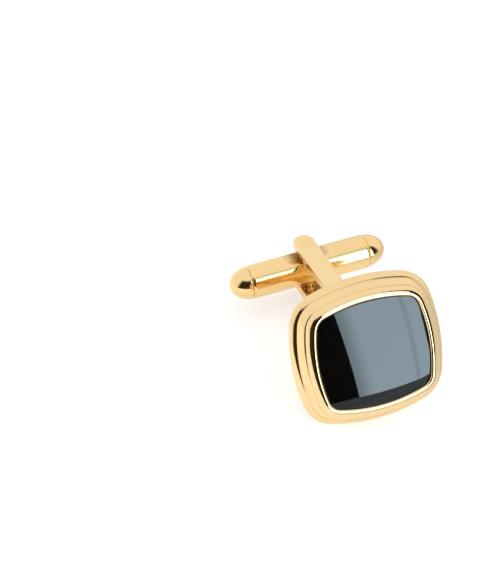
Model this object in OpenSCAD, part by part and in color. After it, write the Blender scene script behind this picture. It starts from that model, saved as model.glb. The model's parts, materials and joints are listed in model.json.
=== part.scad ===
// Cufflink with a swivel bullet back: a cushion of black onyx in a stepped gilt frame,
// carried on a bent U-shaped arm with a torpedo toggle pinned between its two legs.
// Units are millimetres. The pieces are drawn in the link's own axes: X along the toggle,
// Y up the face and Z out of the face, with Z = 0 on the flat back that meets the cuff.
// The module as_laid_down then turns the whole link to the way it lies on a table.

/* [Face] */
// Width of the stone, across the middle of its sides
stone_w = 13.5; // [12:0.1:15]
// Height of the stone, across the middle of its top and bottom
stone_h = 12.4; // [11:0.1:14]
// Radius of the slow bulge of each of the stone's four sides
side_r = 19; // [16:0.5:40]
// Radius of the stone's four corners
corner_r = 1.6; // [1.2:0.05:2.4]
// Depth of the head from the flat back to the crest of the rim round the stone
head_d = 3.2; // [3.1:0.05:4.2]
// Wall of the cup whose edge shows as a thin rim round the stone
rim_w = 0.46; // [0.46:0.01:0.5]
// Radius of the rim's rounded crest
rim_r = 0.33; // [0.28:0.01:0.34]
// Slope of the shoulder that runs from the rim's crest on to the frame
rim_slope = 16; // [12:1:20]
// Width of the inner ridge of the frame
ridge_1_w = 0.6; // [0.58:0.01:0.66]
// Fall of the inner ridge from the shoulder to its foot
ridge_1_fall = 0.83; // [0.8:0.01:0.9]
// Slope of the inner ridge at its foot
ridge_1_foot = 86; // [80:1:88]
// Width of the middle ridge of the frame
ridge_2_w = 0.63; // [0.6:0.01:0.66]
// Fall of the middle ridge from its upper edge to its foot
ridge_2_fall = 1.17; // [1.1:0.01:1.2]
// Slope of the middle ridge at its upper edge
ridge_2_slope = 20; // [12:1:24]
// Slope of the middle ridge at its foot
ridge_2_foot = 74; // [70:1:80]
// Width of the outer ridge of the frame
ridge_3_w = 0.65; // [0.6:0.01:0.7]
// Fall of the outer ridge from its upper edge to its foot
ridge_3_fall = 0.7; // [0.64:0.01:0.72]
// Slope of the outer ridge at its upper edge
ridge_3_slope = 22; // [18:1:30]
// Slope of the outer ridge at its foot
ridge_3_foot = 73; // [66:1:80]
// Rounding of the frame's rear outer edge
frame_edge_r = 0.3; // [0.1:0.05:0.4]

/* [Stone setting] */
// Radius of the low dome polished on the stone
dome_r = 50; // [30:1:90]
// How far the stone's edge lies below the crest of its rim, at the middle of a side
stone_sink = 0.17; // [0.1:0.01:0.3]
// Thickness of the cup's floor
cup_floor_t = 0.4; // [0.3:0.05:0.6]
// Thickness of the cement bed under the stone
cement_t = 0.12; // [0.08:0.01:0.2]
// Thickness of the plate that closes the back of the frame
plate_t = 0.8; // [0.6:0.05:1]
// Width of the frame's flat rear land, outside the back plate
land_w = 0.7; // [0.4:0.05:0.9]

/* [Arm] */
// Diameter of the round foot soldered to the back plate
foot_d = 8.4; // [7:0.1:11]
// Thickness of the foot
foot_t = 0.8; // [0.6:0.05:1.2]
// Angle by which both legs lean up the head, away from its normal
arm_lean = 20; // [0:1:25]
// Width of the strip that the U-shaped arm is bent from
leg_w = 2.5; // [2:0.05:3]
// Thickness of the strip
leg_t = 1.1; // [0.9:0.05:1.4]
// Inner radius of the two bends at the base of the arm
bend_r = 0.5; // [0.3:0.05:1]
// Distance along the arm from the foot to the hinge pin's axis
post_l = 16.8; // [14:0.1:20]
// How far the round ends of the legs reach past the hinge pin's axis
tip_l = 1.9; // [1.3:0.05:2.6]
// Diameter of the hinge pin
pin_d = 1.5; // [1.2:0.05:1.8]

/* [Toggle] */
// Length of the toggle over both bullet ends
toggle_l = 19.2; // [17:0.1:22]
// Diameter of the toggle's barrel
barrel_d = 4; // [3.6:0.05:4.6]
// Diameter of the barrel's bore
bore_d = 2.7; // [2.5:0.05:2.9]
// Length of each bullet end past its seam
nose_l = 2.3; // [2.1:0.05:3]
// Step from the barrel down to each bullet end, at the seam
seam_step = 0.07; // [0.03:0.01:0.12]
// Length of each bullet end's plug inside the bore
plug_l = 1.5; // [1:0.1:2.5]
// Depth of the flats milled on the barrel under the two legs
flat_depth = 0.38; // [0.2:0.02:0.45]
// Length of each flat along the barrel, between its two run-outs
flat_l = 3.4; // [2.6:0.1:4]
// Radius of the cutter that leaves the hollow run-outs
runout_r = 2; // [1.2:0.1:2.8]
// Diameter of the round hinge boss left standing on each flat
boss_d = 2.1; // [1.9:0.05:2.2]

/* [Detent] */
// Width across the flats of the pin's squared middle
cam_w = 1.24; // [1.1:0.02:1.4]
// Length of the pin's squared middle
cam_l = 2; // [1.8:0.1:2.2]
// Width of each leaf spring
spring_w = 1.7; // [1.4:0.05:1.8]
// Thickness of each leaf spring
spring_t = 0.2; // [0.12:0.01:0.25]

/* [Fits] */
// Gap round pieces that are glued, pressed or soldered in place
seat_gap = 0.02; // [0.01:0.005:0.04]
// Running gap round the pin in the barrel, and between each boss and its leg
run_gap = 0.04; // [0.02:0.01:0.08]
// Gap between the barrel and each leg when the toggle lies in line with the arm
pass_gap = 0.25; // [0.1:0.01:0.35]
// Gap between each end of the leaf springs and the plug beside it
spring_gap = 0.4; // [0.2:0.05:0.8]

/* [Hidden] */

gilt = "#e6c27a";
gilt_shade = "#d9b064";
onyx = "#14171a";
cement = "#b8b09a";
spring_steel = "#8d9298";

// Facets to a full turn on small rounds, and on the long slow arcs of dome and springs
$fn = 72;
arc_fn = 360;
// Steps that the cushion outline takes along each side and round each corner
side_steps = 7;
corner_steps = 6;
// Steps round each ridge of the frame, the rim, the frame's rear edge and the arm's bends
ridge_steps = 10;
edge_steps = 3;
bend_steps = 8;
// Overrun of every cut past the face that it leaves
cut = 0.5;

// Centres of the arcs of the stone's +X side and its top, on the X and the Y axis
side_x = stone_w / 2 - side_r;
top_y = stone_h / 2 - side_r;
// Centre of the corner between them, where the corner's arc runs on from both
centres_apart = norm([side_x, top_y]);
corner_out = sqrt(pow(side_r - corner_r, 2) - pow(centres_apart / 2, 2)) / centres_apart;
corner_x = side_x / 2 - corner_out * top_y;
corner_y = top_y / 2 - corner_out * side_x;
// Angles at which the side's arc meets the corner's, and the corner's meets the top's
side_a = atan2(corner_y, corner_x - side_x);
top_a = atan2(corner_y - top_y, corner_x);

// Where the rim's crest runs into its shoulder: place outside the stone's outline, and height
shoulder_x = rim_r * (1 + sin(rim_slope));
shoulder_z = head_d - rim_r * (1 - cos(rim_slope));
// Height of the shoulder further out
function shoulder(x) = shoulder_z - (x - shoulder_x) * tan(rim_slope);
// Inner wall of the frame, upper edges of its lower ridges, and its outer wall: the same way
frame_in = rim_w + 2 * seat_gap;
ridge_2_x = frame_in + ridge_1_w;
ridge_3_x = ridge_2_x + ridge_2_w;
frame_w = ridge_3_x + ridge_3_w;
// Heights of the same edges, and of the outer ridge's foot
ridge_2_z = shoulder(frame_in) - ridge_1_fall;
ridge_3_z = ridge_2_z - ridge_2_fall;
ridge_foot_z = ridge_3_z - ridge_3_fall;
head_h = stone_h + 2 * frame_w;
plate_edge = frame_w - frame_edge_r - land_w;

// Levels inside the head
cup_floor_z = plate_t + cup_floor_t;
stone_z = cup_floor_z + cement_t;
stone_edge_z = head_d - stone_sink;
dome_z = stone_edge_z - sqrt(pow(dome_r, 2) - pow(stone_h / 2, 2));

// The arm and its legs
gap_half = barrel_d / 2 + pass_gap;
arm_half = gap_half + leg_t;
arm_end = post_l + tip_l;

// The toggle
barrel_l = toggle_l - 2 * nose_l;
barrel_r = barrel_d / 2;
bore_r = bore_d / 2;
nose_r = barrel_r - seam_step;
plug_r = bore_r - seat_gap;
flat_y = barrel_r - flat_depth;
boss_y = gap_half - run_gap;
spring_l = barrel_l - 2 * plug_l - 2 * spring_gap;

// The leaf springs: inner face at mid-length, rise towards the ends, radius of the inner face
spring_z = cam_w / 2 + seat_gap;
spring_rise = sqrt(pow(plug_r, 2) - pow(spring_w / 2, 2)) - spring_t - spring_z;
spring_r = (pow(spring_l / 2, 2) + pow(spring_rise, 2)) / (2 * spring_rise);

// End of the lower leg, seen along X from the middle of the head's back
lower_y = arm_end * sin(arm_lean) - arm_half * cos(arm_lean);
lower_z = -foot_t - arm_end * cos(arm_lean) - arm_half * sin(arm_lean);
// How the link lies: on the frame's lower rear edge and the end of the lower leg
edge_y = frame_edge_r - head_h / 2;
span_y = edge_y - lower_y;
span_z = frame_edge_r - lower_z;
lean = asin(frame_edge_r / norm([span_y, span_z])) - atan2(span_y, span_z);
rest_z = -lower_y * cos(lean) - lower_z * sin(lean);
// Foremost and rearmost reach of the link as it lies, to centre it on the origin
face_section = concat(rim_section(), frame_section());
front_y = min([for (p = face_section) -(stone_h / 2 + p[0]) * sin(lean) - p[1] * cos(lean)]);
arm_tilt = lean - arm_lean;
arm_reach = max(arm_half * sin(arm_tilt) + arm_end * cos(arm_tilt), post_l * cos(arm_tilt) + barrel_r);
back_y = foot_t * cos(lean) + arm_reach;
rest_y = -(front_y + back_y) / 2;

// Turns the link from its own axes to the way it lies on a table
module as_laid_down() {
    translate([0, rest_y, rest_z])
        rotate([90 - lean, 0, 0])
            children();
}

// Moves a piece drawn in the arm's axes, from the middle of its foot, on to the head
module on_arm() {
    as_laid_down()
        translate([0, 0, -foot_t])
            rotate([arm_lean, 0, 0])
                children();
}

// Moves a piece drawn about the hinge to where the legs hold it
module at_hinge() {
    on_arm()
        translate([0, 0, -post_l])
            children();
}

// Points along an arc about (x, y), from angle a to angle b, in n steps and without its end
function arc(x, y, r, a, b, n) =
    [for (i = [0:n - 1]) [x + r * cos(a + (b - a) * i / n), y + r * sin(a + (b - a) * i / n)]];

// The same points with the arc's end
function whole_arc(x, y, r, a, b, n) = arc(x, y, r, a, b + (b - a) / n, n + 1);

// Cushion outline, grown outside the stone's: four slow side arcs and four corner arcs
function outline(grow) =
    [for (turn = [1, -1])
        for (p = concat(
            arc(side_x, 0, side_r + grow, -side_a, side_a, side_steps),
            arc(corner_x, corner_y, corner_r + grow, side_a, top_a, corner_steps),
            arc(0, top_y, side_r + grow, top_a, 180 - top_a, side_steps),
            arc(-corner_x, corner_y, corner_r + grow, 180 - top_a, 180 - side_a, corner_steps)))
            turn * p];

// A solid cushion, grown outside the stone's outline, from height low to height high
module cushion(grow, low, high) {
    translate([0, 0, low])
        linear_extrude(high - low)
            polygon(outline(grow));
}

// Carries a section round the stone. Each of its points is a distance outside the stone's
// outline and a height. A closed section makes a ring, and an open one has its first and
// last turns filled in flat.
module wrap(section, closed = true) {
    m = len(section);
    turns = [for (p = section) [for (q = outline(p[0])) [q[0], q[1], p[1]]]];
    n = len(turns[0]);
    last = closed ? m - 1 : m - 2;
    walls = [for (j = [0:last], i = [0:n - 1])
        let (here = j * n, above = (j + 1) % m * n, next = (i + 1) % n)
            each [[here + i, here + next, above + next], [here + i, above + next, above + i]]];
    ends = closed ? [] : [[for (i = [n - 1:-1:0]) i], [for (i = [0:n - 1]) (m - 1) * n + i]];
    polyhedron([for (t = turns) each t], concat(walls, ends), convexity = 8);
}

// Section of one ridge, from its upper edge at (x, z): a round brow that steepens to its foot,
// drawn as a curve between two points that keeps to the slopes given at both of them
function ridge(x, z, width, fall, slope, foot) =
    let (reach = (width * sin(foot) - fall * cos(foot)) / sin(foot - slope),
         brow = [x + reach * cos(slope), z - reach * sin(slope)])
        [for (i = [0:ridge_steps - 1])
            let (s = i / ridge_steps, e = 1 - s)
                e * e * [x, z] + 2 * s * e * brow + s * s * [x + width, z - fall]];

// Section of the frame: three ridges down a steep side, over a flat land
function frame_section() = concat(
    ridge(frame_in, shoulder(frame_in), ridge_1_w, ridge_1_fall, rim_slope, ridge_1_foot),
    ridge(ridge_2_x, ridge_2_z, ridge_2_w, ridge_2_fall, ridge_2_slope, ridge_2_foot),
    ridge(ridge_3_x, ridge_3_z, ridge_3_w, ridge_3_fall, ridge_3_slope, ridge_3_foot),
    [[frame_w, ridge_foot_z]],
    whole_arc(frame_w - frame_edge_r, frame_edge_r, frame_edge_r, 0, -90, edge_steps),
    [[plate_edge, 0], [plate_edge, plate_t], [frame_in, plate_t]]);

// Section of the cup's wall, up over its rounded rim and down to the cup's floor
function rim_section() = concat(
    [[rim_w, plate_t], [rim_w, shoulder(rim_w)]],
    whole_arc(rim_r, head_d - rim_r, rim_r, 90 - rim_slope, 180, ridge_steps),
    [[0, cup_floor_z]]);

// Struck brass frame, gilt and polished
module bezel_frame() {
    color(gilt)
        as_laid_down()
            wrap(frame_section());
}

// Thin pressed cup that holds the stone, with its edge rubbed round into a fine rim
module stone_cup() {
    color(gilt)
        as_laid_down()
            wrap(rim_section(), closed = false);
}

// Black onyx cushion with a low polished dome
module onyx_stone() {
    color(onyx)
        as_laid_down()
            intersection() {
                cushion(-seat_gap, stone_z, head_d + cut);
                translate([0, 0, dome_z])
                    sphere(dome_r, $fn = arc_fn);
            }
}

// Cement that beds the stone on the cup's floor
module cement_bed() {
    color(cement)
        as_laid_down()
            cushion(-2 * seat_gap, cup_floor_z, stone_z);
}

// Flat plate let into the back of the frame
module back_plate() {
    color(gilt_shade)
        as_laid_down()
            cushion(plate_edge - seat_gap, 0, plate_t);
}

// Round foot under the arm, soldered to the back plate
module arm_foot() {
    color(gilt_shade)
        as_laid_down()
            translate([0, 0, -foot_t])
                cylinder(foot_t, d = foot_d);
}

// Point of the arm's side view, given across the arm and along it from its foot
function arm_point(across, along) =
    [across * cos(arm_lean) + along * sin(arm_lean), across * sin(arm_lean) - along * cos(arm_lean)];

// Rounded bend between the base and one leg, whose face lies at half and the base's at depth
function bend(side, half, depth, r) =
    let (across = side * (half - r), low = -depth - r)
        whole_arc((across - low * sin(arm_lean)) / cos(arm_lean), low, r,
                  side > 0 ? arm_lean : 180 + arm_lean, 90, bend_steps);

// Points of a list in the reverse order
function turned(points) = [for (i = [len(points) - 1:-1:0]) points[i]];

// Side view of the arm: a flat base on the foot and two parallel leaning legs, with spare length
function arm_profile() = concat(
    [arm_point(arm_half, arm_end + cut)],
    bend(1, arm_half, 0, bend_r + leg_t),
    turned(bend(-1, arm_half, 0, bend_r + leg_t)),
    [arm_point(-arm_half, arm_end + cut), arm_point(-gap_half, arm_end + cut)],
    bend(-1, gap_half, leg_t, bend_r),
    turned(bend(1, gap_half, leg_t, bend_r)),
    [arm_point(gap_half, arm_end + cut)]);

// Arm bent from one flat strip: a U with two parallel leaning legs and full-round ends
module fork_arm() {
    color(gilt)
        difference() {
            intersection() {
                as_laid_down()
                    translate([0, 0, -foot_t])
                        rotate([90, 0, 90])
                            linear_extrude(leg_w, center = true)
                                polygon(arm_profile());
                on_arm()
                    rotate([90, 0, 0])
                        linear_extrude(2 * arm_half + 2 * cut, center = true) {
                            translate([-leg_w / 2, leg_w / 2 - arm_end])
                                square([leg_w, arm_end + arm_half]);
                            translate([0, leg_w / 2 - arm_end])
                                circle(leg_w / 2);
                        }
            }
            at_hinge()
                rotate([90, 0, 0])
                    cylinder(2 * arm_half + 2 * cut, d = pin_d, center = true);
        }
}

// Hinge pin, riveted and filed flush in both legs, with a squared middle for the springs
module pivot_pin() {
    color(gilt_shade)
        at_hinge()
            difference() {
                rotate([90, 0, 0])
                    cylinder(2 * arm_half, d = pin_d, center = true);
                for (turn = [0:90:270])
                    rotate([0, turn, 0])
                        translate([-pin_d, -cam_l / 2, cam_w / 2])
                            cube([2 * pin_d, cam_l, pin_d]);
            }
}

// Cutter for one flat: level under the leg, with a hollow run-out at each end
module flat_cutter() {
    translate([-flat_l / 2, flat_y, -barrel_r])
        cube([flat_l, flat_depth + cut, barrel_d]);
    for (side = [-1, 1])
        translate([side * flat_l / 2, flat_y + runout_r, 0])
            cylinder(barrel_d, r = runout_r, center = true);
}

// Tube of the toggle, milled flat under the legs and bored across for the hinge pin
module toggle_barrel() {
    color(gilt)
        at_hinge()
            difference() {
                union() {
                    difference() {
                        rotate([0, 90, 0])
                            cylinder(barrel_l, d = barrel_d, center = true);
                        for (turn = [0, 180])
                            rotate([0, 0, turn])
                                flat_cutter();
                    }
                    rotate([90, 0, 0])
                        cylinder(2 * boss_y, d = boss_d, center = true);
                }
                rotate([0, 90, 0])
                    cylinder(barrel_l + 2 * cut, d = bore_d, center = true);
                rotate([90, 0, 0])
                    cylinder(barrel_d + 2 * cut, r = pin_d / 2 + run_gap, center = true);
            }
}

// Bullet end: a round nose, with a plug pressed into the barrel's bore
module toggle_cap(side) {
    color(gilt)
        at_hinge()
            rotate([0, 90 * side, 0])
                translate([0, 0, barrel_l / 2])
                    rotate_extrude() {
                        translate([0, -plug_l])
                            square([plug_r, plug_l + nose_l - nose_r]);
                        square([nose_r, nose_l - nose_r]);
                        translate([0, nose_l - nose_r])
                            intersection() {
                                circle(nose_r);
                                square(nose_r);
                            }
                    }
}

module toggle_cap_left() {
    toggle_cap(-1);
}

module toggle_cap_right() {
    toggle_cap(1);
}

// Bowed steel leaf: its middle presses on the squared pin and its ends bear in the bore
module detent_spring(side) {
    color(spring_steel)
        at_hinge()
            rotate([90 - 90 * side, 0, 0])
                intersection() {
                    translate([0, 0, spring_z + spring_r])
                        rotate([90, 0, 0])
                            difference() {
                                cylinder(spring_w, r = spring_r, center = true, $fn = arc_fn);
                                cylinder(spring_w + 2 * cut, r = spring_r - spring_t, center = true,
                                         $fn = arc_fn);
                            }
                    translate([-spring_l / 2, -spring_w / 2, 0])
                        cube([spring_l, spring_w, bore_r]);
                }
}

module detent_spring_front() {
    detent_spring(1);
}

module detent_spring_rear() {
    detent_spring(-1);
}

bezel_frame();
stone_cup();
onyx_stone();
cement_bed();
back_plate();
arm_foot();
fork_arm();
pivot_pin();
toggle_barrel();
toggle_cap_left();
toggle_cap_right();
detent_spring_front();
detent_spring_rear();
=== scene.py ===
import json
import math

import bmesh
import bpy
from mathutils import Matrix, Vector


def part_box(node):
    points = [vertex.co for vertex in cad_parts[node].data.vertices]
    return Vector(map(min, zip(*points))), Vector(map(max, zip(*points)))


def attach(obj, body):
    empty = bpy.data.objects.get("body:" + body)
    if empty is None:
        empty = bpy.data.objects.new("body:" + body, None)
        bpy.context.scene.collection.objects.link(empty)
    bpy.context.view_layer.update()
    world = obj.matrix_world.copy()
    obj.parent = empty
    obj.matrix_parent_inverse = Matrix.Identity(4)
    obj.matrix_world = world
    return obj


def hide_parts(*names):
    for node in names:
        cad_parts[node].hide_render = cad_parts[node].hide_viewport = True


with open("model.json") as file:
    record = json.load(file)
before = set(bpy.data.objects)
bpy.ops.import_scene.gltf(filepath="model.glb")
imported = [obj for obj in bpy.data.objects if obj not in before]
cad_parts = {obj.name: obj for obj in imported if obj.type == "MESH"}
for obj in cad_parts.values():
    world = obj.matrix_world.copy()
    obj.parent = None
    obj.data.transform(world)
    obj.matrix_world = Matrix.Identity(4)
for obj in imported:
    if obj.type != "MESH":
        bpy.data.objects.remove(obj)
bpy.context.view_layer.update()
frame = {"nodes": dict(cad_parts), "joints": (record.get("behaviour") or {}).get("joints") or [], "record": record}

mm = 0.001


# Frame of the face
# A ring struck in brass, with three rounded ridges down its steep side. It is gilt and polished,
# and painted shade darkens the grooves between the ridges. Every other piece of the head is
# soldered or set into it.

stone_w = 13.5 * mm
stone_h = 12.4 * mm
side_r = 19 * mm
corner_r = 1.6 * mm
side_steps = 40
corner_steps = 24
head_d = 3.2 * mm
rim_w = 0.46 * mm
rim_r = 0.29 * mm
rim_slope = 16
seat_gap = 0.02 * mm
groove_r = 0.02 * mm
# How far the painted shade spreads from each groove's bottom, and how dark it is there
groove_shade = 0.05 * mm
groove_dark = 0.12
groove_steps = 6
ridge_steps = 40
frame_edge_r = 0.3 * mm
frame_edge_steps = 10
plate_t = 0.8 * mm
land_w = 0.7 * mm
foot_t = 0.8 * mm

# Each ridge from the rim outwards: its width, its fall, and the slopes of its brow and its foot
ridges = [(0.6 * mm, 0.83 * mm, rim_slope, 86),
          (0.63 * mm, 1.17 * mm, 20, 74),
          (0.65 * mm, 0.7 * mm, 22, 73)]

pale_gold = (0.93, 0.68, 0.36, 1)
warm_gold = (0.90, 0.64, 0.32, 1)
# Colour of the painted shade in the frame's grooves and the toggle's milled hollows
painted_shade_colour = (0.16, 0.06, 0.02, 1)
hair_deep = 0.00035 * mm
weld = 0.0001 * mm
crease = math.radians(30)

# The patterns in the gilding: how many patches there are to the metre, and how fine their detail is
drift_grain = (0.3 / mm, 3)
smear_grain = (1.1 / mm, 4)
smear_range = (0.35, 0.7)
hair_grain = (1, 2)
swell_grain = (0.8 / mm, 1)

# The head's own axes, X along the toggle, Y up the face and Z out of it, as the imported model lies
seat = next(m for m in frame["record"]["mounts"] if m["name"] == "cuff_seat")
across = Vector((1, 0, 0))
face_out = -Vector(seat["axis"]).normalized()
face_up = face_out.cross(across)
foot_low, foot_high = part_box("arm_foot")
back_centre = (foot_low + foot_high) / 2 + face_out * foot_t / 2
head_axes = Matrix.Translation(back_centre) @ Matrix((across, face_up, face_out)).transposed().to_4x4()

# Centres of the arcs that the stone's outline is drawn with, and the angles where they meet
side_x = stone_w / 2 - side_r
top_y = stone_h / 2 - side_r
centres_apart = math.hypot(side_x, top_y)
corner_out = math.sqrt((side_r - corner_r) ** 2 - (centres_apart / 2) ** 2) / centres_apart
corner_x = side_x / 2 - corner_out * top_y
corner_y = top_y / 2 - corner_out * side_x
side_a = math.atan2(corner_y, corner_x - side_x)
top_a = math.atan2(corner_y - top_y, corner_x)


def arc(x, y, r, start, end, steps):
    """Points round (x, y), from one angle to another, with both ends."""
    turns = [start + (end - start) * i / steps for i in range(steps + 1)]
    return [(x + r * math.cos(t), y + r * math.sin(t)) for t in turns]


def rounded(before, after, reach):
    """Two runs of points, joined by a curve that cuts their corner at the given reach."""
    corner = Vector(before[-1])
    before = [p for p in before if (Vector(p) - corner).length > reach]
    after = [p for p in after if (Vector(p) - corner).length > reach]
    start, end = Vector(before[-1]), Vector(after[0])
    shares = [i / groove_steps for i in range(1, groove_steps)]
    turn = [start.lerp(corner, s).lerp(corner.lerp(end, s), s) for s in shares]
    return before + [tuple(p) for p in turn] + after


def cushion_line(grow):
    """The stone's outline, grown outwards: four slow side arcs with a tight arc at each corner."""
    half = (arc(side_x, 0, side_r + grow, -side_a, side_a, side_steps)[:-1]
            + arc(corner_x, corner_y, corner_r + grow, side_a, top_a, corner_steps)[:-1]
            + arc(0, top_y, side_r + grow, top_a, math.pi - top_a, side_steps)[:-1]
            + arc(-corner_x, corner_y, corner_r + grow, math.pi - top_a, math.pi - side_a,
                  corner_steps)[:-1])
    return half + [(-x, -y) for x, y in half]


def cushion_rings(section):
    """The outline at each point of a section: its distance outside the stone, and its height."""
    return [[(x, y, height) for x, y in cushion_line(out)] for out, height in section]


def outside_stone(x, y):
    """Distance of a place outside the stone's outline, seen from the front."""
    x, y = abs(x), abs(y)
    if math.atan2(y - corner_y, x - corner_x) <= side_a and y < corner_y + (x - corner_x):
        return math.hypot(x - side_x, y) - side_r
    if x > corner_x and y > corner_y:
        return math.hypot(x - corner_x, y - corner_y) - corner_r
    return math.hypot(x, y - top_y) - side_r


def skin(rings, joined=False):
    """Corners and faces of a solid through rings of points, closed flat or joined end to end."""
    n, m = len(rings[0]), len(rings)
    faces = []
    for j in range(m if joined else m - 1):
        here, above = j * n, (j + 1) % m * n
        for i in range(n):
            beside = (i + 1) % n
            faces.append((here + i, here + beside, above + beside, above + i))
    if not joined:
        faces += [tuple(range(n))[::-1], tuple(range((m - 1) * n, m * n))]
    return [p for ring in rings for p in ring], faces


def make_piece(name, points, faces, axes, finish, sharp_from=crease):
    """A mesh in the head's or the hinge's axes, moved to where the link lies, with its finish."""
    mesh = bpy.data.meshes.new(name)
    mesh.from_pydata(points, [], faces)
    work = bmesh.new()
    work.from_mesh(mesh)
    bmesh.ops.remove_doubles(work, verts=work.verts, dist=weld)
    bmesh.ops.dissolve_degenerate(work, edges=work.edges, dist=weld)
    bmesh.ops.recalc_face_normals(work, faces=work.faces)
    work.to_mesh(mesh)
    work.free()
    mesh.transform(axes)
    mesh.shade_smooth()
    mesh.set_sharp_from_angle(angle=sharp_from)
    mesh.materials.append(finish)
    piece = bpy.data.objects.new(name, mesh)
    bpy.context.scene.collection.objects.link(piece)
    return piece


def fit(piece, body, slot, *nodes):
    """Lets a piece ride on its body, in the place of the solids that it stands for."""
    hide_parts(*nodes)
    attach(piece, body)


def paint_shade(piece, axes, darkness):
    """Marks each corner of a piece with how much painted shade it gets, worked out from its place."""
    marks = piece.data.attributes.new("hollow", "FLOAT", "POINT")
    back = axes.inverted()
    for corner, mark in zip(piece.data.vertices, marks.data):
        mark.value = darkness(*(back @ corner.co))


def add_node(tree, kind, inputs=(), **settings):
    """A shader node with its settings, and with values or other nodes' outputs on its inputs."""
    made = tree.nodes.new("ShaderNode" + kind)
    for key, value in settings.items():
        setattr(made, key, value)
    for socket, value in dict(inputs).items():
        if isinstance(value, bpy.types.NodeSocket):
            tree.links.new(value, made.inputs[socket])
        else:
            made.inputs[socket].default_value = value
    return made


def new_finish(name):
    """A new material, with its nodes, its shader and the coordinates of the piece that wears it."""
    finish = bpy.data.materials.new(name)
    finish.use_nodes = True
    tree = finish.node_tree
    return finish, tree, tree.nodes["Principled BSDF"], add_node(tree, "TexCoord").outputs["Object"]


def mottle(tree, place, scale, detail, twist=0):
    """Level of a soft random pattern, from 0 to 1, at each place of a piece."""
    made = add_node(tree, "TexNoise", {"Vector": place, "Scale": scale, "Detail": detail,
                                       "Distortion": twist})
    return made.outputs["Fac"]


def blend(tree, share, colour, other):
    """Two colours mixed by a share. A mixing node takes its colours on inputs 6 and 7."""
    made = add_node(tree, "Mix", {"Factor": share, 6: colour, 7: other}, data_type="RGBA")
    return made.outputs[2]


def spread(tree, value, low, high, start, end, curve="LINEAR"):
    """A level that goes from start to end as a value goes from low to high."""
    made = add_node(tree, "MapRange", {"Value": value, "From Min": low, "From Max": high,
                                       "To Min": start, "To Max": end}, interpolation_type=curve)
    return made.outputs["Result"]


def gilt(name, colour, deep_colour, smooth, worn, hairs, wave):
    """Gold plate over polished brass: slow drifts of colour, painted shade where marked, fine hairlines and a soft
    wave.
    """
    finish, tree, shader, place = new_finish(name)
    plate = blend(tree, mottle(tree, place, *drift_grain), colour, deep_colour)
    # Painted shade: where a piece marks its corners, the gold darkens towards the shade colour
    hollow = add_node(tree, "Attribute", attribute_name="hollow").outputs["Fac"]
    tree.links.new(blend(tree, hollow, plate, painted_shade_colour), shader.inputs["Base Color"])
    smear = spread(tree, mottle(tree, place, *smear_grain), *smear_range, smooth, worn)
    tree.links.new(smear, shader.inputs["Roughness"])
    shader.inputs["Metallic"].default_value = 1
    along = add_node(tree, "Mapping", {"Vector": place, "Scale": hairs}).outputs["Vector"]
    scratched = add_node(tree, "Bump", {"Height": mottle(tree, along, *hair_grain), "Strength": 1,
                                        "Distance": hair_deep}).outputs["Normal"]
    waved = add_node(tree, "Bump", {"Height": mottle(tree, place, *swell_grain), "Strength": 1,
                                    "Distance": wave, "Normal": scratched}).outputs["Normal"]
    tree.links.new(waved, shader.inputs["Normal"])
    return finish


frame_in = rim_w + 2 * seat_gap
frame_w = frame_in + sum(ridge[0] for ridge in ridges)
plate_edge = frame_w - frame_edge_r - land_w


def shoulder(out):
    """Height of the smooth shoulder that runs from the rim's crest down on to the frame."""
    slope = math.radians(rim_slope)
    below = (out - rim_r * (1 + math.sin(slope))) * math.tan(slope)
    return head_d - rim_r * (1 - math.cos(slope)) - below


def ridge_line(out, height, width, fall, slope, foot):
    """Section of a ridge: one round brow that keeps to the slopes given at its two ends."""
    slope, foot = math.radians(slope), math.radians(foot)
    start, end = Vector((out, height)), Vector((out + width, height - fall))
    reach = (width * math.sin(foot) - fall * math.cos(foot)) / math.sin(foot - slope)
    brow = start + reach * Vector((math.cos(slope), -math.sin(slope)))
    shares = [i / ridge_steps for i in range(ridge_steps + 1)]
    return [tuple(start.lerp(brow, s).lerp(brow.lerp(end, s), s)) for s in shares]


section, grooves = [], []
out, height = frame_in, shoulder(frame_in)
for width, fall, slope, foot in ridges:
    ridge = ridge_line(out, height, width, fall, slope, foot)
    if section:
        grooves.append((out, height))
        section = rounded(section, ridge, groove_r)
    else:
        section = ridge
    out, height = out + width, height - fall
section += arc(frame_w - frame_edge_r, frame_edge_r, frame_edge_r, 0, -math.pi / 2, frame_edge_steps)
section += [(plate_edge, 0), (plate_edge, plate_t), (frame_in, plate_t)]


def painted_groove_shade(x, y, z):
    """Painted shade at a place of the frame, by how near it lies to the bottom of a groove."""
    away = outside_stone(x, y)
    reach = min(math.hypot(away - groove_x, z - groove_z) for groove_x, groove_z in grooves)
    return groove_dark * math.exp(-(reach / groove_shade) ** 2)


ridge_gilt = gilt("ridge_gilt", pale_gold, warm_gold, smooth=0.05, worn=0.11,
                  hairs=(4 / mm, 4 / mm, 4 / mm), wave=0.002 * mm)
bezel = make_piece("stepped_frame", *skin(cushion_rings(section), joined=True), head_axes, ridge_gilt)
# The grooves get their painted shade
paint_shade(bezel, head_axes, painted_groove_shade)
fit(bezel, "head", "gilt_frame", "bezel_frame")


# Cup and rim of the stone
# A thin brass cup pressed to the stone's outline and let into the frame. Its edge is rubbed round
# and stands just above the stone as a fine bright rim.

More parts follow.
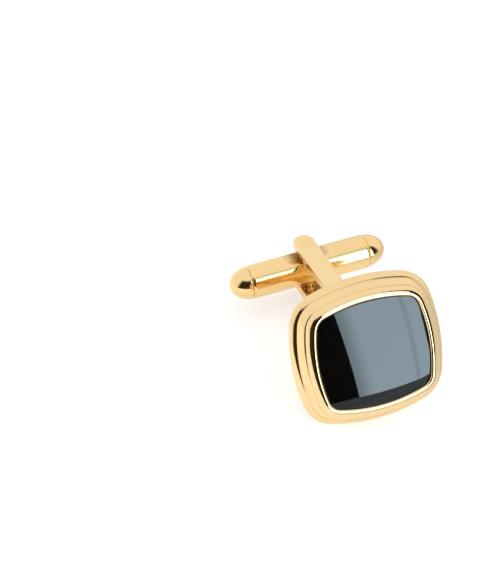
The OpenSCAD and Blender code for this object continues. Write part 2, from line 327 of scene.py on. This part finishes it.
cup_floor_t = 0.4 * mm
rim_steps = 28
cup_floor_z = plate_t + cup_floor_t
rim_section = ([(rim_w, plate_t), (rim_w, shoulder(rim_w))]
               + arc(rim_r, head_d - rim_r, rim_r, math.pi / 2 - math.radians(rim_slope), math.pi,
                     rim_steps)
               + [(0, cup_floor_z)])
rim_gilt = gilt("rim_gilt", pale_gold, warm_gold, smooth=0.04, worn=0.08,
                hairs=(4 / mm, 4 / mm, 4 / mm), wave=0.001 * mm)
rim = make_piece("stone_rim", *skin(cushion_rings(rim_section)), head_axes, rim_gilt)
fit(rim, "head", "gilt_rim", "stone_cup")


# Onyx
# A cushion of black onyx ground to a low dome and polished like glass. It is cemented in the cup,
# and the rim is closed over its rounded girdle.

cement_t = 0.12 * mm
dome_r = 50 * mm
dome_rings = 48
stone_sink = 0.17 * mm
girdle_r = 0.06 * mm
girdle_steps = 6
girdle_crease = math.radians(60)
deep_black = (0.0012, 0.0013, 0.0014, 1)
band_black = (0.003, 0.0032, 0.0035, 1)
band_grain = (0.35 / mm, 5)
band_twist = 0.6
haze_grain = (2.5 / mm, 3)
haze_range = (0.3, 0.7)
onyx_polish = (0.012, 0.03)
onyx_ior = 1.54
stone_z = cup_floor_z + cement_t
dome_z = head_d - stone_sink - math.sqrt(dome_r ** 2 - (stone_h / 2) ** 2)


def dome_height(x, y):
    """Height of the polished dome over a point of the face."""
    return dome_z + math.sqrt(dome_r ** 2 - x * x - y * y)


girdle = cushion_line(-seat_gap - girdle_r)
stone_rings = [[(x, y, stone_z) for x, y in cushion_line(-seat_gap)]]
for inward, rise in arc(girdle_r, girdle_r, girdle_r, math.pi, math.pi / 2, girdle_steps)[:-1]:
    line = cushion_line(-seat_gap - inward)
    stone_rings.append([(x, y, dome_height(x, y) - girdle_r + rise) for x, y in line])
for i in range(dome_rings + 1):
    share = 1 - i / dome_rings
    stone_rings.append([(share * x, share * y, dome_height(share * x, share * y)) for x, y in girdle])

black, tree, shader, place = new_finish("polished_onyx")
bands = mottle(tree, place, *band_grain, band_twist)
tree.links.new(blend(tree, bands, deep_black, band_black), shader.inputs["Base Color"])
haze = spread(tree, mottle(tree, place, *haze_grain), *haze_range, *onyx_polish)
tree.links.new(haze, shader.inputs["Roughness"])
shader.inputs["IOR"].default_value = onyx_ior
onyx = make_piece("onyx_cushion", *skin(stone_rings), head_axes, black, sharp_from=girdle_crease)
fit(onyx, "head", "onyx", "onyx_stone")


# Cement
# A thin bed of pale cement between the stone and the floor of the cup. It is hidden in the
# finished link.

cement_dark = (0.42, 0.38, 0.28, 1)
cement_pale = (0.58, 0.54, 0.44, 1)
cement_rough = 0.85
grit_grain = (6 / mm, 6)

grout, tree, shader, place = new_finish("set_cement")
grit = mottle(tree, place, *grit_grain)
tree.links.new(blend(tree, grit, cement_dark, cement_pale), shader.inputs["Base Color"])
shader.inputs["Roughness"].default_value = cement_rough
for node_slot in frame["nodes"]["cement_bed"].material_slots:
    node_slot.material = grout


# Plate in the back of the frame
# A flat brass plate let in flush behind the cup and soldered round its edge, where a hairline
# shows. It is polished less than the face and keeps the faint lines of the finishing wheel.

plate_bevel = 0.05 * mm
back_gold = (0.88, 0.62, 0.28, 1)
back_gold_deep = (0.84, 0.57, 0.24, 1)
plate_line = plate_edge - seat_gap
plate_section = [(plate_line - plate_bevel, 0), (plate_line, plate_bevel), (plate_line, plate_t)]
back_gilt = gilt("back_gilt", back_gold, back_gold_deep, smooth=0.12, worn=0.2,
                 hairs=(0.5 / mm, 30 / mm, 30 / mm), wave=0.002 * mm)
plate = make_piece("rear_plate", *skin(cushion_rings(plate_section)), head_axes, back_gilt)
fit(plate, "head", "gilt_back", "back_plate")


# Foot of the arm
# A turned disc that spreads the arm's pull over the back plate. It is soldered down, with a small
# fillet of solder gilt over at its edge.

foot_r = 4.2 * mm
foot_bevel = 0.15 * mm
foot_bevel_steps = 6
solder_r = 0.18 * mm
solder_steps = 8
lathe_steps = 96


def turned(profile, steps=lathe_steps):
    """Rings of a turned solid: each point of its profile is a radius and a place on the axis Z."""
    turns = [2 * math.pi * i / steps for i in range(steps)]
    return [[(r * math.cos(t), r * math.sin(t), z) for t in turns] for r, z in profile]


foot_profile = ([(0, 0)]
                + arc(foot_r + solder_r, -solder_r, solder_r, math.pi / 2, math.pi, solder_steps)
                + arc(foot_r - foot_bevel, foot_bevel - foot_t, foot_bevel, 0, -math.pi / 2,
                      foot_bevel_steps)
                + [(0, -foot_t)])
foot = make_piece("arm_foot_disc", *skin(turned(foot_profile)), head_axes, back_gilt)
fit(foot, "head", "gilt_back", "arm_foot")


# Arm
# A strip of brass bent to a U, with two legs that lean up the head and full-round ends. Its edges
# are broken with a file before it is polished and gilt, and the hinge hole is bored through both.

arm_lean = math.radians(20)
leg_w = 2.5 * mm
leg_t = 1.1 * mm
leg_edge_r = 0.25 * mm
leg_edge_steps = 8
leg_steps = 30
tip_steps = 16
overrun = 1 * mm
bend_r = 0.5 * mm
bend_steps = 20
post_l = 16.8 * mm
tip_l = 1.9 * mm
pin_r = 0.75 * mm
gap_half = 2.25 * mm
hole_gap = 0.01 * mm
hole_steps = 72
arm_gold = (0.94, 0.70, 0.37, 1)
arm_gold_deep = (0.92, 0.68, 0.35, 1)

# The hinge's own axes, X along the toggle and Y along the pin
hinge = frame["joints"][0]
arm_up = Vector(hinge["axis"]).normalized()
hinge_axes = (Matrix.Translation(Vector(hinge["pos_m"]))
              @ Matrix((across, arm_up, across.cross(arm_up))).transposed().to_4x4())
to_pin = Matrix.Rotation(-math.pi / 2, 4, "X")

leg_mid = gap_half + leg_t / 2
base_z = -foot_t - leg_t / 2
mid_r = bend_r + leg_t / 2
tip_along = post_l + tip_l - leg_w / 2
legs_on = Vector((math.sin(arm_lean), -math.cos(arm_lean)))
legs_across = Vector((math.cos(arm_lean), math.sin(arm_lean)))


def half_way(side):
    """The strip's middle line from one leg's tip to the base: (y, z) places, and the way out of it."""
    tip = Vector((0, -foot_t)) + legs_on * tip_along + legs_across * side * leg_mid
    low = base_z - mid_r
    centre_y = (side * (leg_mid - mid_r) - (low + foot_t) * math.sin(arm_lean)) / math.cos(arm_lean)
    centre = Vector((centre_y, low))
    leg_turn = arm_lean if side > 0 else math.pi + arm_lean
    bend = [(Vector(p), (Vector(p) - centre).normalized())
            for p in arc(centre.x, centre.y, mid_r, leg_turn, math.pi / 2, bend_steps)]
    straight = [(tip.lerp(bend[0][0], i / leg_steps), bend[0][1]) for i in range(leg_steps)]
    return straight + bend


way = half_way(1) + half_way(-1)[::-1]


def strip_ring(inset, lift):
    """Outline of the strip, drawn in by inset and lifted off its middle line, once round."""
    reach = leg_w / 2 - inset
    turns = [math.pi / 2 * i / tip_steps for i in range(tip_steps, 0, -1)]
    first, last = [[(reach * math.cos(t), place + out * lift + legs_on * reach * math.sin(t))
                    for t in turns] for place, out in (way[0], way[-1])]
    run = first + [(reach, place + out * lift) for place, out in way] + last[::-1]
    there = [(x, p.x, p.y) for x, p in run]
    return there + [(-x, y, z) for x, y, z in there[::-1]]


edge_mid = leg_t / 2 - leg_edge_r
edge_points = (arc(leg_edge_r, edge_mid, leg_edge_r, math.pi / 2, math.pi, leg_edge_steps)
               + arc(leg_edge_r, -edge_mid, leg_edge_r, math.pi, 3 * math.pi / 2, leg_edge_steps))
strip_rings = [strip_ring(inset, lift) for inset, lift in edge_points]
points, faces = skin(strip_rings)

# The strip's two broad sides are laid in slats from edge to edge, because the arm isn't flat there
round_n = len(strip_rings[0])
faces = faces[:-2]
for first in (0, (len(strip_rings) - 1) * round_n):
    faces += [(first + i, first + i + 1, first + round_n - 2 - i, first + round_n - 1 - i)
              for i in range(round_n // 2 - 1)]


def cut_away(piece, tool_points, tool_faces, axes, operation="DIFFERENCE"):
    """Cuts a tool's shape out of a piece, or adds it, and keeps the result as the piece's mesh."""
    tool = make_piece("tool", tool_points, tool_faces, axes, piece.data.materials[0])
    change = piece.modifiers.new("cut", "BOOLEAN")
    change.operation = operation
    change.solver = "EXACT"
    change.object = tool
    bpy.context.view_layer.update()
    result = bpy.data.meshes.new_from_object(piece.evaluated_get(bpy.context.evaluated_depsgraph_get()))
    piece.modifiers.clear()
    piece.data = result
    result.set_sharp_from_angle(angle=crease)
    bpy.data.objects.remove(tool)


arm_gilt = gilt("arm_gilt", arm_gold, arm_gold_deep, smooth=0.24, worn=0.28,
                hairs=(25 / mm, 2 / mm, 2 / mm), wave=0.001 * mm)
arm = make_piece("bent_arm", points, faces, head_axes, arm_gilt)
hole_half = gap_half + leg_t + overrun
hole = turned([(pin_r + hole_gap, -hole_half), (pin_r + hole_gap, hole_half)], hole_steps)
cut_away(arm, *skin(hole), hinge_axes @ to_pin)
fit(arm, "head", "gilt_arm", "fork_arm")


# Hinge pin
# A brass pin riveted through both legs and filed flush with them, so that only a hairline shows
# after gilding. Its squared middle turns the springs in the barrel.

pin_gold = (0.94, 0.70, 0.36, 1)
pin_gold_deep = (0.90, 0.64, 0.30, 1)
pin_gilt = gilt("pin_gilt", pin_gold, pin_gold_deep, smooth=0.16, worn=0.24,
                hairs=(12 / mm, 3 / mm, 3 / mm), wave=0.002 * mm)
for node_slot in frame["nodes"]["pivot_pin"].material_slots:
    node_slot.material = pin_gilt


# Barrel of the toggle
# A length of brass tube, milled flat under each leg with a round cutter that leaves a hollow
# run-out at both ends. A round boss stays on each flat to carry the leg, and the pin goes through.

barrel_r = 2 * mm
bore_r = 1.35 * mm
toggle_l = 19.2 * mm
nose_l = 2.3 * mm
flat_deep = 0.38 * mm
flat_half = 1.7 * mm
runout_r = 2 * mm
edge_soft = 0.06 * mm
boss_r = 1.05 * mm
boss_gap = 0.04 * mm
boss_bevel = 0.06 * mm
run_gap = 0.04 * mm
end_r = 0.5 * mm
end_turn = math.radians(40)
end_steps = 10
chamfer_l = 0.03 * mm
chamfer_drop = 0.06 * mm
round_steps = 240
cut_steps = 130
# Painted shade in the milled hollows: how dark it is, how deep in the cut it is full, and how far past the leg it
# fades
milled_dark = 0.85
milled_deep = 0.15 * mm
milled_reach = 0.9 * mm
toggle_gold = (0.93, 0.68, 0.34, 1)
toggle_gold_deep = (0.91, 0.64, 0.30, 1)

barrel_half = toggle_l / 2 - nose_l
flat_y = barrel_r - flat_deep
cut_half = flat_half + runout_r
boss_y = gap_half - boss_gap


def flat_height(x):
    """Distance of the milled surface from the barrel's axis, at a place along the barrel."""
    past = max(0, abs(x) - flat_half)
    if past >= runout_r:
        return flat_y + runout_r
    return flat_y + runout_r - math.sqrt(runout_r ** 2 - past ** 2)


def milled(reach, height):
    """The lesser of two heights, with the edge between them rounded over."""
    blended = max(0, 1 - abs(reach - height) / (2 * edge_soft))
    return min(reach, height) - edge_soft * blended ** 2 / 2


def barrel_ring(x, r):
    """Section of the barrel at a place along it, with both flats taken off."""
    ring = []
    for i in range(round_steps):
        turn = 2 * math.pi * i / round_steps
        y, z = r * math.cos(turn), r * math.sin(turn)
        ring.append((x, math.copysign(milled(abs(y), flat_height(x)), y), z))
    return ring


def painted_milled_shade(x, y, z):
    """Painted shade in the milled hollows, beside and under the legs."""
    depth = (barrel_r - math.hypot(y, z)) / milled_deep
    past = max(0, abs(x) - leg_w / 2) / milled_reach
    return milled_dark * min(1, max(0, depth)) * math.exp(-past ** 2) * (abs(x) < cut_half)


round_end = arc(barrel_half - chamfer_l - end_r * math.sin(end_turn), barrel_r - end_r, end_r,
                math.pi / 2, math.pi / 2 - end_turn, end_steps)
round_end.append((barrel_half, round_end[-1][1] - chamfer_drop))
stations = [(-x, r) for x, r in round_end[::-1]]
stations += [(cut_half * (2 * i / cut_steps - 1), barrel_r) for i in range(cut_steps + 1)]
stations += round_end + [(barrel_half, bore_r), (-barrel_half, bore_r)]
barrel_rings = [barrel_ring(x, r) for x, r in stations]

toggle_gilt = gilt("toggle_gilt", toggle_gold, toggle_gold_deep, smooth=0.08, worn=0.14,
                   hairs=(1.5 / mm, 8 / mm, 8 / mm), wave=0.002 * mm)
barrel = make_piece("barrel", *skin(barrel_rings, joined=True), hinge_axes, toggle_gilt)
for side in (1, -1):
    boss_profile = [(0, bore_r), (boss_r + boss_bevel, flat_y - boss_bevel),
                    (boss_r, flat_y + boss_bevel), (boss_r, boss_y - boss_bevel),
                    (boss_r - boss_bevel, boss_y), (0, boss_y)]
    boss = turned([(r, side * y) for r, y in boss_profile])
    cut_away(barrel, *skin(boss), hinge_axes @ to_pin, "UNION")
pin_hole_r = pin_r + run_gap
pin_hole_half = barrel_r + overrun
pin_hole = turned([(pin_hole_r, -pin_hole_half), (pin_hole_r, pin_hole_half)], hole_steps)
cut_away(barrel, *skin(pin_hole), hinge_axes @ to_pin)
# The milled hollows get painted shade beside and under the legs
paint_shade(barrel, hinge_axes, painted_milled_shade)
fit(barrel, "toggle", "gilt_toggle", "toggle_barrel")


# Bullet ends
# Two turned noses, each pressed into the barrel by a plug on its back. They are a hair smaller than
# the barrel, so a fine step and a seam show where they meet.

nose_step = 0.1 * mm
nose_turn = math.radians(5)
nose_steps = 144
dome_steps = 48
plug_l = 1.5 * mm
seam_r = 0.14 * mm
seam_steps = 14

nose_r = barrel_r - nose_step
plug_r = bore_r - seat_gap
dome_start = seam_r * (1 + math.sin(nose_turn))
dome_rise = (nose_l - dome_start) / (1 - math.sin(nose_turn))
nose_profile = ([(0, -plug_l), (plug_r, -plug_l), (plug_r, 0)]
                + arc(nose_r - seam_r * math.cos(nose_turn), seam_r, seam_r, -math.pi / 2, nose_turn,
                      seam_steps)
                + [(nose_r * r / math.cos(nose_turn), nose_l - dome_rise * (1 - rise))
                   for r, rise in arc(0, 0, 1, nose_turn, math.pi / 2, dome_steps)[1:]])
for side, end in ((-1, "left"), (1, "right")):
    to_side = Matrix.Rotation(side * math.pi / 2, 4, "Y")
    nose_axes = hinge_axes @ Matrix.Translation((side * barrel_half, 0, 0)) @ to_side
    nose = make_piece("bullet_end_" + end, *skin(turned(nose_profile, nose_steps)), nose_axes,
                      toggle_gilt)
    fit(nose, "toggle", "gilt_toggle", "toggle_cap_" + end)


# Detent springs
# Two bowed leaves of spring steel inside the barrel, which press on the squared middle of the pin.
# They are hidden in the finished link.

steel_dark = (0.33, 0.34, 0.36, 1)
steel_pale = (0.5, 0.51, 0.53, 1)
steel_rough = 0.32
brush_lines = (1 / mm, 30 / mm, 30 / mm)
brush_grain = (1, 3)

steel, tree, shader, place = new_finish("spring_steel")
along = add_node(tree, "Mapping", {"Vector": place, "Scale": brush_lines}).outputs["Vector"]
brushing = mottle(tree, along, *brush_grain)
tree.links.new(blend(tree, brushing, steel_dark, steel_pale), shader.inputs["Base Color"])
shader.inputs["Metallic"].default_value = 1
shader.inputs["Roughness"].default_value = steel_rough
for name in ("detent_spring_front", "detent_spring_rear"):
    for node_slot in frame["nodes"][name].material_slots:
        node_slot.material = steel


# Table
# A wide white sheet, plain and matt, that keeps the link's soft shadow. It shows white to the
# camera, and carries a painted pool of light that only reflections see, so polished metal sees it bright on the
# left and dim on the right.

table_half = 0.9
table_front = 0.42
sheet_colour = (0.7, 0.7, 0.7, 1)
sheet_glow = 0.53
# A painted pool of light that only reflections see: how bright the sheet glows to polished metal on the left and
# on the right, and where it fades between them
sheet_painted_gleam = (0.5, 0.12)
gleam_from = 1 * mm
gleam_to = 19 * mm
white = (1, 1, 1, 1)


def fade(tree, value, low, high, start, end):
    """A soft step from start to end as a value goes from low to high."""
    return spread(tree, value, low, high, start, end, curve="SMOOTHSTEP")


def reckon(tree, operation, *values):
    """The result of a sum in the nodes, such as MULTIPLY, on values or on other nodes' outputs."""
    return add_node(tree, "Math", dict(enumerate(values)), operation=operation).outputs[0]


def new_stage_nodes(block):
    """The nodes of a stage material or of the world, cleared."""
    block.use_nodes = True
    block.node_tree.nodes.clear()
    return block.node_tree


def set_stage(name, points, finish):
    """One flat face of the stage, which isn't part of the link."""
    mesh = bpy.data.meshes.new(name)
    mesh.from_pydata(points, [], [tuple(range(len(points)))])
    mesh.materials.append(finish)
    piece = bpy.data.objects.new(name, mesh)
    bpy.context.scene.collection.objects.link(piece)
    return piece


sheet = bpy.data.materials.new("white_table")
tree = new_stage_nodes(sheet)
rays = add_node(tree, "LightPath").outputs
mirrored = reckon(tree, "MAXIMUM", rays["Is Glossy Ray"], rays["Is Transmission Ray"])
place = add_node(tree, "SeparateXYZ", {"Vector": add_node(tree, "TexCoord").outputs["Object"]})
# The painted light for reflections fades from left to right
painted_gleam = fade(tree, place.outputs["X"], gleam_from, gleam_to, *sheet_painted_gleam)
glow = reckon(tree, "MULTIPLY_ADD", rays["Is Camera Ray"], sheet_glow,
              reckon(tree, "MULTIPLY", mirrored, painted_gleam))
matt = add_node(tree, "BsdfDiffuse", {"Color": sheet_colour})
lit = add_node(tree, "Emission", {"Color": white, "Strength": glow})
both = add_node(tree, "AddShader", {0: matt.outputs[0], 1: lit.outputs[0]})
add_node(tree, "OutputMaterial", {"Surface": both.outputs[0]})
set_stage("table", [(-table_half, -table_front, 0), (table_half, -table_front, 0),
                    (table_half, table_half, 0), (-table_half, table_half, 0)], sheet)


# Studio light
# A white room lights the link from all round. One tall softbox stands in front of it and to the
# right, the room's dark end lies round the softbox and behind the camera, and a low white card
# stands at the table's front edge.

room_dark = (0.038, 0.026, 0.014, 1)
dark_left = (math.radians(-82), math.radians(-62))
dark_right = (math.radians(52), math.radians(72))
dark_top = (math.radians(50), math.radians(66))
softbox_far = 1.2
softbox_light = (5.1, 6.5, 7.3)
softbox_dim_side = (0.25, 0.6)
softbox_dim_top = (0.42, 0.95, 0.16)
softbox_rib = (0.81, 0.055, 0.81)
card_line = [(-table_half, 0), (0.22, 0), (0.066, 0.018), (-table_half, 0.033)]

# Azimuth and elevation of the softbox's corners in degrees, seen from the link
softbox_corners = [(10.8, 1.2), (30.7, -1.2), (40.5, 57), (3, 57)]

world = bpy.data.worlds.new("white_room")
bpy.context.scene.world = world
tree = new_stage_nodes(world)
way_out = add_node(tree, "TexCoord").outputs["Generated"]
parts = add_node(tree, "SeparateXYZ", {"Vector": way_out}).outputs
azimuth = reckon(tree, "ARCTAN2", parts["X"], reckon(tree, "MULTIPLY", parts["Y"], -1))
elevation = reckon(tree, "ARCSINE", parts["Z"])
darkness = reckon(tree, "MULTIPLY", fade(tree, azimuth, *dark_left, 0, 1),
                  fade(tree, azimuth, *dark_right, 1, 0))
darkness = reckon(tree, "MULTIPLY", darkness, fade(tree, elevation, *dark_top, 1, 0))
unseen = reckon(tree, "SUBTRACT", 1, add_node(tree, "LightPath").outputs["Is Camera Ray"])
room = blend(tree, reckon(tree, "MULTIPLY", darkness, unseen), white, room_dark)
backdrop = add_node(tree, "Background", {"Color": room, "Strength": 1})
add_node(tree, "OutputWorld", {"Surface": backdrop.outputs[0]})

# The cloth dims towards its left edge and its top, and one faint rib stands upright in it
cloth = bpy.data.materials.new("softbox_cloth")
tree = new_stage_nodes(cloth)
light_peak = max(softbox_light)
light_colour = tuple(level / light_peak for level in softbox_light) + (1,)
place = add_node(tree, "SeparateXYZ", {"Vector": add_node(tree, "TexCoord").outputs["UV"]}).outputs
dim_w, dim_level = softbox_dim_side
dim_start, dim_end, top_level = softbox_dim_top
rib_at, rib_half, rib_level = softbox_rib
strength = light_peak
for level in (fade(tree, place["X"], 0, dim_w, dim_level, 1),
              fade(tree, place["X"], rib_at - rib_half, rib_at, 1, rib_level),
              fade(tree, place["X"], rib_at, rib_at + rib_half, 1, 1 / rib_level),
              fade(tree, place["Y"], dim_start, dim_end, 1, top_level)):
    strength = reckon(tree, "MULTIPLY", strength, level)
lit = add_node(tree, "Emission", {"Color": light_colour, "Strength": strength})
add_node(tree, "OutputMaterial", {"Surface": lit.outputs[0]})


def toward(azimuth_deg, elevation_deg):
    """Unit vector from the link, with azimuth 0 to its front and positive to its right."""
    a, e = math.radians(azimuth_deg), math.radians(elevation_deg)
    return Vector((math.sin(a) * math.cos(e), -math.cos(a) * math.cos(e), math.sin(e)))


softbox = set_stage("softbox", [toward(a, e) * softbox_far for a, e in softbox_corners], cloth)
softbox.visible_camera = False
sides = softbox.data.uv_layers.new(name="across")
for loop, corner in zip(sides.data, [(0, 0), (1, 0), (1, 1), (0, 1)]):
    loop.uv = corner
card = set_stage("white_card", [(x, -table_front, z) for x, z in card_line], sheet)
card.visible_camera = False


# Camera
# A long lens high at the link's left front, as in the photograph, whose frame is 480 by 587 pixels.
# Its place and its turn were worked out from the outlines of the face, the arm and the toggle.

photo_long_side = 587
sensor_w = 36
focal_px = 6190.1
camera_azimuth = -23.24
camera_elevation = 46.48
camera_roll = 1.93
camera_far = 716.51 * mm
camera_aim = Vector((-9.11 * mm, 8.71 * mm, 4.17 * mm))
nearest_seen = 0.01
farthest_seen = 10

eye = bpy.data.cameras.new("camera")
eye.sensor_width = sensor_w
eye.lens = focal_px * sensor_w / photo_long_side
eye.clip_start = nearest_seen
eye.clip_end = farthest_seen
camera = bpy.data.objects.new("camera", eye)
bpy.context.scene.collection.objects.link(camera)
back_way = toward(camera_azimuth, camera_elevation)
roll = Matrix.Rotation(math.radians(camera_roll), 3, "Z").to_quaternion()
camera.rotation_mode = "QUATERNION"
camera.rotation_quaternion = back_way.to_track_quat("Z", "Y") @ roll
camera.location = camera_aim + back_way * camera_far
bpy.context.scene.camera = camera
bpy.context.scene.view_settings.view_transform = "Standard"
